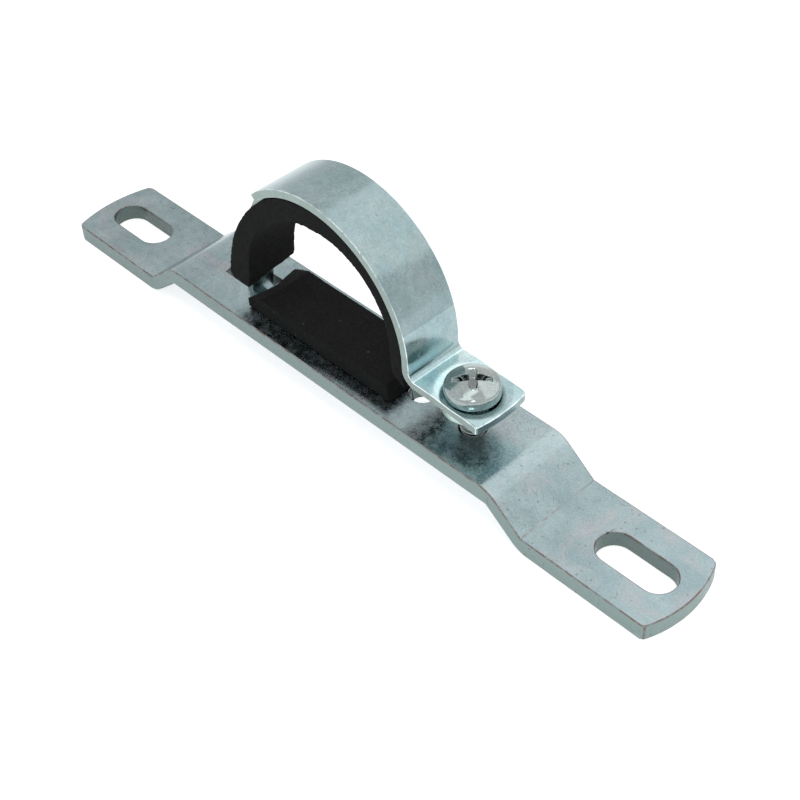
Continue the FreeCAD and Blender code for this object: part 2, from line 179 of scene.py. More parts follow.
# arms of the recess: half length at the top and foot, width at the top and foot, depth
SLOT_ARM = [4.2 * MM, 3.2 * MM, 1.3 * MM, 1.1 * MM, 1.0 * MM]
LONG_ARM = [2.5 * MM, 1.3 * MM, 1.6 * MM, 1.1 * MM, 1.5 * MM]
CROSS_ARM = [2.8 * MM, 1.3 * MM, 1.6 * MM, 1.1 * MM, 1.5 * MM]

# ---------------------------------------------------------------- mesh helpers


def new_object(name, mesh):
    item = bpy.data.objects.new(name, mesh)
    bpy.context.scene.collection.objects.link(item)
    return item


def mesh_of(name, build):
    mesh = bpy.data.meshes.new(name)
    build.to_mesh(mesh)
    build.free()
    return mesh


def settle(item):
    """The object's mesh with its modifiers made real."""
    graph = bpy.context.evaluated_depsgraph_get()
    mesh = bpy.data.meshes.new_from_object(item.evaluated_get(graph))
    item.modifiers.clear()
    item.data = mesh
    return item


def hold(item, node, material):
    """Gives a finished piece its material and its body, and hides the CAD node that it stands for."""
    item.data.materials.clear()
    item.data.materials.append(material)
    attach(item, "root")
    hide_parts(node)


def copy_of(node, name):
    """A copy of a CAD node with its loose triangles joined and its flats made whole."""
    build = bmesh.new()
    build.from_mesh(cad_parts[node].data)
    bmesh.ops.remove_doubles(build, verts=build.verts, dist=0.002 * MM)
    bmesh.ops.dissolve_limit(build, angle_limit=math.radians(0.5), verts=build.verts, edges=build.edges)
    return new_object(name, mesh_of(name, build))


def note(item, name, domain, values):
    """Keeps one number per face or point for the materials to read."""
    layer = item.data.attributes.new(name, "FLOAT", domain)
    layer.data.foreach_set("value", list(values))


def rounded(item, width, angle, segments=3):
    """Joins up the flats and rounds every edge sharper than the angle; the rounding is noted as edge."""
    build = bmesh.new()
    build.from_mesh(item.data)
    bmesh.ops.remove_doubles(build, verts=build.verts, dist=0.001 * MM)
    bmesh.ops.dissolve_limit(build, angle_limit=math.radians(0.1), verts=build.verts, edges=build.edges)
    build.to_mesh(item.data)
    build.free()
    item.data.shade_smooth()
    bevel = item.modifiers.new("edges", "BEVEL")
    bevel.width = width
    bevel.segments = segments
    bevel.limit_method = "ANGLE"
    bevel.angle_limit = math.radians(angle)
    bevel.material = 1
    bevel.use_clamp_overlap = False
    weigh = item.modifiers.new("flats", "WEIGHTED_NORMAL")
    weigh.mode = "FACE_AREA"
    weigh.weight = 50
    for name in ("flat", "edge"):
        item.data.materials.append(bpy.data.materials.new(name))
    settle(item)
    note(item, "edge", "FACE", [float(face.material_index) for face in item.data.polygons])
    for face in item.data.polygons:
        face.material_index = 0
    return item


def combined(item, other, operation):
    """Unites another closed solid with this one or takes it away; the other is used up."""
    boolean = item.modifiers.new("combine", "BOOLEAN")
    boolean.operation = operation
    boolean.solver = "EXACT"
    boolean.object = other
    settle(item)
    bpy.data.objects.remove(other)
    return item


def cut(item, cutter):
    return combined(item, cutter, "DIFFERENCE")


def spun(name, profile, steps):
    """Closed solid turned about Z from (radius, height) points that start and end on the axis."""
    build = bmesh.new()
    rows = []
    for radius, height in profile:
        if radius < 1e-7:
            rows.append([build.verts.new((0, 0, height))])
            continue
        ring = []
        for i in range(steps):
            turn = 2 * math.pi * i / steps
            ring.append(build.verts.new((radius * math.cos(turn), radius * math.sin(turn), height)))
        rows.append(ring)
    for low, high in zip(rows, rows[1:]):
        for i in range(steps):
            after = (i + 1) % steps
            corners = [low[i % len(low)], low[after % len(low)], high[after % len(high)], high[i % len(high)]]
            build.faces.new(list(dict.fromkeys(corners)))
    bmesh.ops.recalc_face_normals(build, faces=build.faces)
    return new_object(name, mesh_of(name, build))


# ---------------------------------------------------------------- node helpers


def add(tree, kind, settings=None, **inputs):
    """A node with its settings and inputs; an input is a value or another node's socket."""
    item = tree.nodes.new(kind)
    for key, value in (settings or {}).items():
        setattr(item, key, value)
    for key, value in inputs.items():
        socket = item.inputs[int(key[1:])] if key[1:].isdigit() else item.inputs[key.replace("_", " ")]
        if isinstance(value, bpy.types.NodeSocket):
            tree.links.new(value, socket)
        else:
            socket.default_value = value
    return item


def math_node(tree, operation, *values):
    keys = {"i%d" % i: value for i, value in enumerate(values)}
    return add(tree, "ShaderNodeMath", {"operation": operation}, **keys).outputs[0]


def remap(tree, value, low, high, out_low=0.0, out_high=1.0):
    item = add(tree, "ShaderNodeMapRange", None, Value=value, From_Min=low, From_Max=high,
               To_Min=out_low, To_Max=out_high)
    return item.outputs[0]


def mixed(tree, share, first, second, blend="MIX"):
    item = tree.nodes.new("ShaderNodeMix")
    item.data_type = "RGBA"
    item.blend_type = blend
    for key, value in ((0, share), (6, first), (7, second)):
        if isinstance(value, bpy.types.NodeSocket):
            tree.links.new(value, item.inputs[key])
        else:
            item.inputs[key].default_value = value
    return item.outputs[2]


# ---------------------------------------------------------------- formed strip


def strip_solid(name, upper, lower, columns, there, move):
    """A closed strip: upper and lower are its paired lines of (x, z), columns its places across."""
    build = bmesh.new()
    corners = {}

    def corner(i, j, side):
        if (i, j, side) not in corners:
            x, z = (upper if side > 0 else lower)[i]
            corners[i, j, side] = build.verts.new(move(i, side, Vector((x, columns[j], z))))
        return corners[i, j, side]

    def face(spots):
        build.faces.new([corner(*spot) for spot in spots])

    def filled(i, j):
        return 0 <= i < len(upper) - 1 and 0 <= j < len(columns) - 1 and there(i, j)

    for i in range(len(upper) - 1):
        for j in range(len(columns) - 1):
            if not filled(i, j):
                continue
            loop = [(i, j), (i + 1, j), (i + 1, j + 1), (i, j + 1)]
            face([(a, b, 1) for a, b in loop])
            face([(a, b, -1) for a, b in reversed(loop)])
            beyond = [(i, j - 1), (i + 1, j), (i, j + 1), (i - 1, j)]
            for k in range(4):
                if filled(*beyond[k]):
                    continue
                a, b = loop[k], loop[(k + 1) % 4]
                face([(*b, 1), (*a, 1), (*a, -1), (*b, -1)])
    bmesh.ops.recalc_face_normals(build, faces=build.faces)
    return new_object(name, mesh_of(name, build))


def prism(name, outline, low, high):
    """Upright solid on an outline of (x, y)."""
    build = bmesh.new()
    base = build.faces.new([build.verts.new((x, y, low)) for x, y in outline])
    raised = bmesh.ops.extrude_face_region(build, geom=[base])
    for item in raised["geom"]:
        if isinstance(item, bmesh.types.BMVert):
            item.co.z = high
    bmesh.ops.recalc_face_normals(build, faces=build.faces)
    return new_object(name, mesh_of(name, build))


def round_ended(at, across, length, width, steps=20):
    """Outline of a slot with round ends, or of a circle where the length is the width."""
    outline = []
    for side in (1, -1):
        middle = at + side * (length - width) / 2
        for i in range(steps + 1):
            turn = math.pi * (i / steps - 0.5) + (0 if side > 0 else math.pi)
            outline.append((middle + width / 2 * math.cos(turn), across + width / 2 * math.sin(turn)))
    return outline


# ---------------------------------------------------------------- the bar
def bent_line(corners, per_run, per_bend):
    """Points of a line through (x, z, radius) corners, each corner rounded to its radius."""
    spots = [Vector((x, z)) for x, z, radius in corners]
    points = [spots[0]]
    start = spots[0]
    for k in range(1, len(corners) - 1):
        back = (spots[k - 1] - spots[k]).normalized()
        ahead = (spots[k + 1] - spots[k]).normalized()
        half = back.angle(ahead) / 2
        radius = corners[k][2]
        reach = radius / math.tan(half)
        centre = spots[k] + (back + ahead).normalized() * radius / math.sin(half)
        enter = spots[k] + back * reach
        leave = spots[k] + ahead * reach
        points += [start.lerp(enter, (i + 1) / per_run[k - 1]) for i in range(per_run[k - 1])]
        for i in range(1, per_bend + 1):
            mid = enter.lerp(leave, i / per_bend) - centre
            points.append(centre + mid.normalized() * radius if i < per_bend else leave)
        start = leave
    points += [start.lerp(spots[-1], (i + 1) / per_run[-1]) for i in range(per_run[-1])]
    return [(p.x, p.y) for p in points]


def make_bar():
    low, high = BAR_LOW.x, BAR_HIGH.x
    left, right = low + LEFT_TAB, high - RIGHT_TAB
    rise = BAR_HIGH.z - BAR_THICK
    upper = bent_line([
        (low, BAR_THICK, 0),
        (left, BAR_THICK, CREASE),
        (left + RAMP_RUN, BAR_HIGH.z, BEND_OUTER),
        (right - RAMP_RUN, BAR_HIGH.z, BEND_OUTER),
        (right, BAR_THICK, CREASE),
        (high, BAR_THICK, 0),
    ], BAR_RUNS, BAR_BEND_STEPS)
    lower = bent_line([
        (low, 0, 0),
        (left + RAMP_LAP, 0, BEND_OUTER),
        (left + RAMP_RUN + RAMP_LAP, rise, BEND_INNER),
        (right - RAMP_RUN - RAMP_LAP, rise, BEND_INNER),
        (right - RAMP_LAP, 0, BEND_OUTER),
        (high, 0, 0),
    ], BAR_RUNS, BAR_BEND_STEPS)
    inner = [i / BAR_COLUMNS * BAR_EVEN for i in range(-BAR_COLUMNS, BAR_COLUMNS + 1)]
    columns = [BAR_HALF * c for c in [-c for c in reversed(BAR_RIM)] + inner + BAR_RIM]

    def move(i, side, here):
        tab, end, bulge, corner = (
            (left, low, LEFT_BULGE, TAB_CORNER) if here.x < 0 else
            (right, high, RIGHT_BULGE, NEAR_CORNER if here.y < 0 else TAB_CORNER))
        share = (here.x - tab) / (end - tab)
        if share <= 0:
            return here
        bow = (bulge ** 2 + BAR_HALF ** 2) / (2 * bulge)
        lost = bow - math.sqrt(bow ** 2 - here.y ** 2)
        over = abs(here.y) - (BAR_HALF - corner)
        if over > 0:
            lost += corner - math.sqrt(max(corner ** 2 - over ** 2, 0))
        here.x -= math.copysign(lost, end) * share
        return here

    bar = strip_solid("base_bar_steel", upper, lower, columns, lambda i, j: True, move)
    deep = (-2 * BAR_HIGH.z, 2 * BAR_HIGH.z)
    for side in (-1, 1):
        outline = round_ended(side * SLOT_SPACING / 2, SLOT_SHIFT, SLOT_LENGTH, SLOT_WIDTH)
        cut(bar, prism("slot", outline, *deep))
    for at in (SPARE_HOLE_AT, SCREW_AT):
        cut(bar, prism("hole", round_ended(at, 0, THREAD_HOLE, THREAD_HOLE), *deep))
    near = HOOK_SLOT_SHIFT - HOOK_SLOT_WIDTH / 2
    far = HOOK_SLOT_SHIFT + HOOK_SLOT_WIDTH / 2
    window = [(HOOK_SLOT_FROM, near), (HOOK_SLOT_TO, near), (HOOK_SLOT_TO, far), (HOOK_SLOT_FROM, far)]
    cut(bar, prism("window", window, *deep))
    rounded(bar, BAR_ROUND, BAR_ROUND_FROM)
    # painted shade: upright faces near the middle of the width, short of the right end, are darkened; these
    # are the walls of the slots, holes and window
    painted_tones = []
    for face in bar.data.polygons:
        inside = abs(face.center.y) < WALL_REACH and abs(face.center.x) < high - RIGHT_BULGE - MM
        painted_tones.append(WALL_PAINTED_SHADE if inside and abs(face.normal.z) < 0.3 else 1.0)
    note(bar, "painted_light", "FACE", painted_tones)
    # painted shade: the upward faces in the right crease take the bar's dark edge colour
    edge_and_crease_shade = bar.data.attributes["edge"].data
    for face in bar.data.polygons:
        away = abs(face.center.x - (high - RIGHT_TAB))
        if away < CREASE_REACH and face.center.z < BAR_THICK + CREASE and face.normal.z > 0.3:
            edge_and_crease_shade[face.index].value = CREASE_PAINTED_SHADE
    return bar


# ---------------------------------------------------------------- the band
def band_stations():
    """(place, outward direction, run) along the middle of the strip, from the foot's end to the hook's."""
    half = STRIP / 2
    bend_at = ARCH_CENTRE.x + ARCH_OUTER + FOOT_BEND
    leg = ARCH_CENTRE.z - FOOT_TOP - FOOT_BEND
    arch = 180.0 - TONGUE_LEAN
    radius = ARCH_OUTER - half
    runs = [
        ("foot", BAND_HIGH.x - bend_at, 0, 40),
        ("bend", FOOT_BEND + half, -90, 10),
        ("leg", leg, 0, 3),
        ("arch", radius, TONGUE_FROM, 84),
        ("neck", radius, arch - TONGUE_FROM, 26),
        ("tongue", TONGUE_RUN, 0, 14),
        ("hook_bend", HOOK_BEND + half, 90, 10),
        ("hook", HOOK_RUN, 0, 5),
    ]
    place = Vector((BAND_HIGH.x, 0, FOOT_TOP - half))
    heading = math.pi
    stations = []
    for name, size, turn, steps in runs:
        turn = math.radians(turn)
        for i in range(steps + 1):
            if i == 0 and stations:
                continue
            t = i / steps
            now = heading + turn * t
            if turn == 0:
                spot = place + Vector((math.cos(heading), 0, math.sin(heading))) * size * t
            else:
                side = math.copysign(1, turn)
                left = Vector((-math.sin(heading), 0, math.cos(heading))) * side
                centre = place + left * size
                spot = centre - Vector((-math.sin(now), 0, math.cos(now))) * side * size
            stations.append((spot, Vector((math.sin(now), 0, -math.cos(now))), name))
        place = stations[-1][0]
        heading += turn
    return stations


def dish_fall(radius):
    """How far the foot's upper face sinks at a distance from the screw."""
    bend = ((DISH_RADIUS - DISH_FLOOR) ** 2 + DISH_DEEP ** 2) / (2 * DISH_DEEP)
    if radius >= DISH_RADIUS:
        return 0
    if radius <= DISH_FLOOR:
        return DISH_DEEP
    return bend - math.sqrt(bend ** 2 - (DISH_RADIUS - radius) ** 2)


def cup_fall(radius):
    """How far the foot's lower face is pushed down at a distance from the screw."""
    if radius >= CUP_RADIUS:
        return 0
    if radius <= CUP_FLAT:
        return CUP_DEEP
    t = (radius - CUP_FLAT) / (CUP_RADIUS - CUP_FLAT)
    return CUP_DEEP * (1 - t ** CUP_CURVE) ** (1 / CUP_CURVE)


def make_cup():
    """The round wall that hangs below the foot."""
    under = FOOT_TOP - STRIP - FOOT_SAG / 3
    low = under - CUP_DEEP
    profile = [(0, low), (CUP_WALL - CUP_ROUND, low)]
    for i in range(1, 7):
        turn = math.pi / 2 * i / 6
        radius = CUP_WALL - CUP_ROUND * (1 - math.sin(turn))
        profile.append((radius, low + CUP_ROUND * (1 - math.cos(turn))))
    profile += [
        (CUP_WALL, under + CUP_LAP),
        (CUP_RIM, under + CUP_LAP),
        (CUP_BORE, under - CUP_THICK),
        (0, under - CUP_THICK),
    ]
    cup = spun("cup", profile, 72)
    cup.data.transform(Matrix.Translation((SCREW_AT, 0, 0)))
    return cup


def make_band():
    stations = band_stations()
    upper = []
    lower = []
    for spot, outward, name in stations:
        upper.append(((spot + outward * STRIP / 2).x, (spot + outward * STRIP / 2).z))
        lower.append(((spot - outward * STRIP / 2).x, (spot - outward * STRIP / 2).z))
    wide = [TONGUE_HALF + (BAND_HALF - TONGUE_HALF) * i / 9 for i in range(10)]
    slim = [TONGUE_HALF * i / 6 for i in range(-5, 6)]
    columns = [BAND_SHIFT + v for v in [-v for v in reversed(wide)] + slim + wide]
    first_slim = next(i for i, s in enumerate(stations) if s[2] == "neck") - 1
    bend_at = ARCH_CENTRE.x + ARCH_OUTER + FOOT_BEND

    def there(i, j):
        return i < first_slim or abs((columns[j] + columns[j + 1]) / 2 - BAND_SHIFT) < TONGUE_HALF

    def move(i, side, here):
        if stations[i][2] != "foot":
            return here
        over = abs(here.y - BAND_SHIFT) - (BAND_HALF - FOOT_CORNER)
        near = NEAR_CORNER_SHARE if here.y < 0 else 1
        lost = near * (FOOT_CORNER - math.sqrt(max(FOOT_CORNER ** 2 - over ** 2, 0))) if over > 0 else 0
        lost += FOOT_BULGE * ((here.y - BAND_SHIFT) / BAND_HALF) ** 2
        along = (here.x - bend_at) / (BAND_HIGH.x - bend_at)
        here.x -= lost * along
        here.z -= FOOT_SAG * along ** 2
        away = math.hypot(here.x - SCREW_AT, here.y)
        here.z -= dish_fall(away) if side > 0 else cup_fall(away)
        return here

    band = strip_solid("clamp_band_steel", upper, lower, columns, there, move)
    combined(band, make_cup(), "UNION")
    cut(band, prism("drill", round_ended(SCREW_AT, 0, 2 * FOOT_HOLE, 2 * FOOT_HOLE), 0, BAND_HIGH.z))
    rounded(band, BAND_ROUND, BAND_ROUND_FROM)
    # painted light: the foot's top, underside and cup and the low part of the leg are brightened
    painted_tones = []
    for face in band.data.polygons:
        on_foot = face.center.x > bend_at - STRIP and face.center.z < FOOT_TOP + 0.1 * MM
        away = math.hypot(face.center.x - SCREW_AT, face.center.y)
        in_cup = on_foot and away < CUP_WALL + 0.05 * MM and face.center.z < FOOT_TOP - STRIP + 0.1 * MM
        under = on_foot and face.normal.z < -0.2
        from_leg = min((face.center.x - BAND_HIGH.x + FOOT_LONG) / FOOT_LONG, 1)
        on_top = FOOT_PAINTED_LIGHT[0] + (FOOT_PAINTED_LIGHT[1] - FOOT_PAINTED_LIGHT[0]) * from_leg
        low_leg = not on_foot and face.center.x > 0 and face.center.z < LEG_PAINTED_LIGHT_BELOW
        if in_cup:
            painted_tones.append(CUP_PAINTED_LIGHT)
        elif under:
            painted_tones.append(UNDER_PAINTED_LIGHT)
        elif on_foot and face.normal.z > 0:
            painted_tones.append(on_top)
        else:
            painted_tones.append(LEG_PAINTED_LIGHT if low_leg else 1.0)
    note(band, "painted_light", "FACE", painted_tones)
    return band


# ---------------------------------------------------------------- the foam
def lining_fit(spot):
    """The lining drawn into the band's arch, its right end hanging lower."""
    middle = (LINING_HIGH.y + LINING_LOW.y) / 2
    if spot.x > LINING_HIGH.x / 2 and spot.z < HANG_FROM:
        spot.z -= HANG * (HANG_FROM - spot.z) / (HANG_FROM - ARCH_DRAWN.z)
    spot.x = ARCH_CENTRE.x + ARCH_ASIDE + (spot.x - ARCH_DRAWN.x) * ARCH_GROWTH
    spot.z = ARCH_CENTRE.z + (spot.z - ARCH_DRAWN.z) * ARCH_GROWTH
    spot.y = middle + (spot.y - middle) * ARCH_SLIM
    return spot


def pad_fit(spot):
    """The pad's left end, torn hollow, with its far corner stretched out and its near one drooping."""
    along = min(max((PAD_LOW.x + TEAR_LONG - spot.x) / TEAR_LONG, 0), 1)
    far = (spot.y - PAD_LOW.y) / (PAD_HIGH.y - PAD_LOW.y)
    high = (spot.z - PAD_LOW.z) / (PAD_HIGH.z - PAD_LOW.z)
    spot.x -= along ** 2 * high * TEAR * (1 - TEAR_HOLLOW * far * (1 - far))
    spot.x += along ** 2 * (1 - high) * TEAR * TEAR_BELOW * far * (1 - far)
    spot.z += along * high * far * TEAR_RISE
    spot.x = max(spot.x, PAD_LOW.x)
    return spot


def foam(node, name, fit):
    """A CAD foam solid as an even skin whose faces wander as sliced foam does."""
    piece = copy_of(node, name)
    skin = piece.modifiers.new("skin", "REMESH")
    skin.mode = "VOXEL"
    skin.voxel_size = FOAM_CELL
    settle(piece)
    build = bmesh.new()
    build.from_mesh(piece.data)
    build.normal_update()
    moves = []
    for vertex in build.verts:
        slow = noise.noise(vertex.co / FOAM_SLOW)
        quick = noise.noise(vertex.co / FOAM_QUICK)
        moves.append(vertex.normal * FOAM_ROUGH * (0.6 * slow + 0.4 * quick - 0.5))
    for vertex, move in zip(build.verts, moves):
        vertex.co = fit(vertex.co + move)
    build.to_mesh(piece.data)
    build.free()
    piece.data.shade_smooth()
    return piece


# ---------------------------------------------------------------- the screw
def arm_cutter(name, half, foot_half, width, foot_width, depth):
    """A tapered bar through the crown's middle, wider and longer at the top."""
    build = bmesh.new()
    rings = []
    for height, reach, wide in ((-depth, foot_half, foot_width), (0, half, width), (MM, half, width)):
        z = HEAD_TOP + height
        corners = ((-reach, -wide / 2), (reach, -wide / 2), (reach, wide / 2), (-reach, wide / 2))
        rings.append([build.verts.new((x, y, z)) for x, y in corners])
    build.faces.new(rings[0][::-1])
    build.faces.new(rings[-1])
    for low, high in zip(rings, rings[1:]):
        for i in range(4):
            build.faces.new([low[i], low[(i + 1) % 4], high[(i + 1) % 4], high[i]])
    bmesh.ops.recalc_face_normals(build, faces=build.faces)
    return new_object(name, mesh_of(name, build))


def thread_tree():
    """Geometry nodes for a rolled thread: a helix swept with a V section."""
    tree = bpy.data.node_groups.new("rolled_thread", "GeometryNodeTree")
    sizes = {"Root": THREAD_ROOT, "Crest": THREAD_CREST, "Pitch": THREAD_PITCH, "Length": 0.01}
    for name, value in sizes.items():
        socket = tree.interface.new_socket(name, in_out="INPUT", socket_type="NodeSocketFloat")
        socket.default_value = value
    tree.interface.new_socket("Material", in_out="INPUT", socket_type="NodeSocketMaterial")
    tree.interface.new_socket("Geometry", in_out="OUTPUT", socket_type="NodeSocketGeometry")
    given = tree.nodes.new("NodeGroupInput").outputs
    result = tree.nodes.new("NodeGroupOutput").inputs
    turns = math_node(tree, "DIVIDE", given["Length"], given["Pitch"])
    helix = add(tree, "GeometryNodeCurveSpiral", None, Resolution=36, Rotations=turns,
                Start_Radius=given["Root"], End_Radius=given["Root"], Height=given["Length"])
    tall = math_node(tree, "SUBTRACT", given["Crest"], given["Root"])
    section = add(tree, "GeometryNodeCurvePrimitiveCircle", {"mode": "RADIUS"}, Resolution=3, Radius=tall)
    sweep = add(tree, "GeometryNodeCurveToMesh", None, Curve=helix.outputs[0],
                Profile_Curve=section.outputs[0], Fill_Caps=True)
    real = add(tree, "GeometryNodeRealizeInstances", None, i0=sweep.outputs[0])
    paint = add(tree, "GeometryNodeSetMaterial", None, Geometry=real.outputs[0], Material=given["Material"])
    tree.links.new(paint.outputs[0], result[0])
    return tree


def make_thread(material):
    """The screw's thread as a mesh of its own, from the tip up to the dished seat."""
    holder = new_object("clamp_screw_thread", bpy.data.meshes.new("thread_start"))
    tree = thread_tree()
    keys = {item.name: item.identifier for item in tree.interface.items_tree if item.in_out == "INPUT"}
    grow = holder.modifiers.new("thread", "NODES")
    grow.node_group = tree
    grow[keys["Length"]] = HEAD_SEAT - SCREW_LOW.z - THREAD_SHORT
    grow[keys["Material"]] = material
    settle(holder)
    holder.data.transform(Matrix.Translation((SCREW_AT, 0, SCREW_LOW.z + THREAD_END)))
    # painted shade: the whole thread is darkened
    note(holder, "painted_light", "POINT", [THREAD_PAINTED_SHADE] * len(holder.data.vertices))
    return holder


def make_screw():
    crown = []
    for i in range(CROWN_STEPS + 1):
        radius = (HEAD_RADIUS - CROWN_RIM) * (CROWN_STEPS - i) / CROWN_STEPS
        drop = CROWN_RADIUS - math.sqrt(CROWN_RADIUS ** 2 - radius ** 2)
        crown.append((radius, HEAD_TOP - drop))
    edge_top = crown[0][1]
    profile = [
        (0, SCREW_LOW.z),
        (THREAD_ROOT - 0.5 * MM, SCREW_LOW.z),
        (THREAD_ROOT, SCREW_LOW.z + 0.5 * MM),
        (THREAD_ROOT, HEAD_SEAT - 1.6 * MM),
        (THREAD_CREST, HEAD_SEAT - 1.2 * MM),
        (THREAD_CREST, HEAD_SEAT),
        (HEAD_RADIUS - 0.15 * MM, HEAD_SEAT),
        (HEAD_RADIUS, HEAD_SEAT + 0.3 * MM),
        (HEAD_RADIUS, edge_top - 0.75 * MM),
        (HEAD_RADIUS - 0.14 * MM, edge_top - 0.36 * MM),
        (HEAD_RADIUS - 0.38 * MM, edge_top - 0.12 * MM),
    ] + crown
    head = spun("clamp_screw_steel", profile, 96)
    cut(head, arm_cutter("slot", *SLOT_ARM))
    cut(head, arm_cutter("long_arm", *LONG_ARM))
    cross = arm_cutter("cross_arm", *CROSS_ARM)
    cross.data.transform(Matrix.Rotation(math.pi / 2, 4, "Z"))
    cut(head, cross)
    rounded(head, HEAD_ROUND, HEAD_ROUND_FROM, 2)
    # painted shade: the drive recess darkens with its depth below the crown
    sunk = []
    for vertex in head.data.vertices:
        away = math.hypot(vertex.co.x, vertex.co.y)
        crown_here = HEAD_TOP - CROWN_RADIUS + math.sqrt(CROWN_RADIUS ** 2 - away ** 2)
        inside = away < HEAD_RADIUS - RECESS_RIM and vertex.co.z > HEAD_SEAT
        sunk.append(min((crown_here - vertex.co.z) / RECESS_DEEP, 1) if inside else 0)
    note(head, "painted_light", "POINT", [1 - RECESS_PAINTED_SHADE * max(s, 0) for s in sunk])
    head.data.transform(Matrix.Translation((SCREW_AT, 0, 0)) @ Matrix.Rotation(DRIVE_TURN, 4, "Z"))
    return head


# ---------------------------------------------------------------- materials
SPECK_TONE = (0.10, 0.085, 0.08, 1)
HAIR_TONE = (0.16, 0.14, 0.13, 1)
RUB_TONE = (0.62, 0.64, 0.68, 1)
FOAM_TONES = [(0.004, 0.004, 0.004, 1), (0.008, 0.008, 0.008, 1)]
FOAM_GRAIN = (0.018, 0.018, 0.017, 1)
FOAM_DUST = (0.11, 0.10, 0.085, 1)
ZINC_RELIEF = 0.03 * MM
FOAM_RELIEF = 0.06 * MM


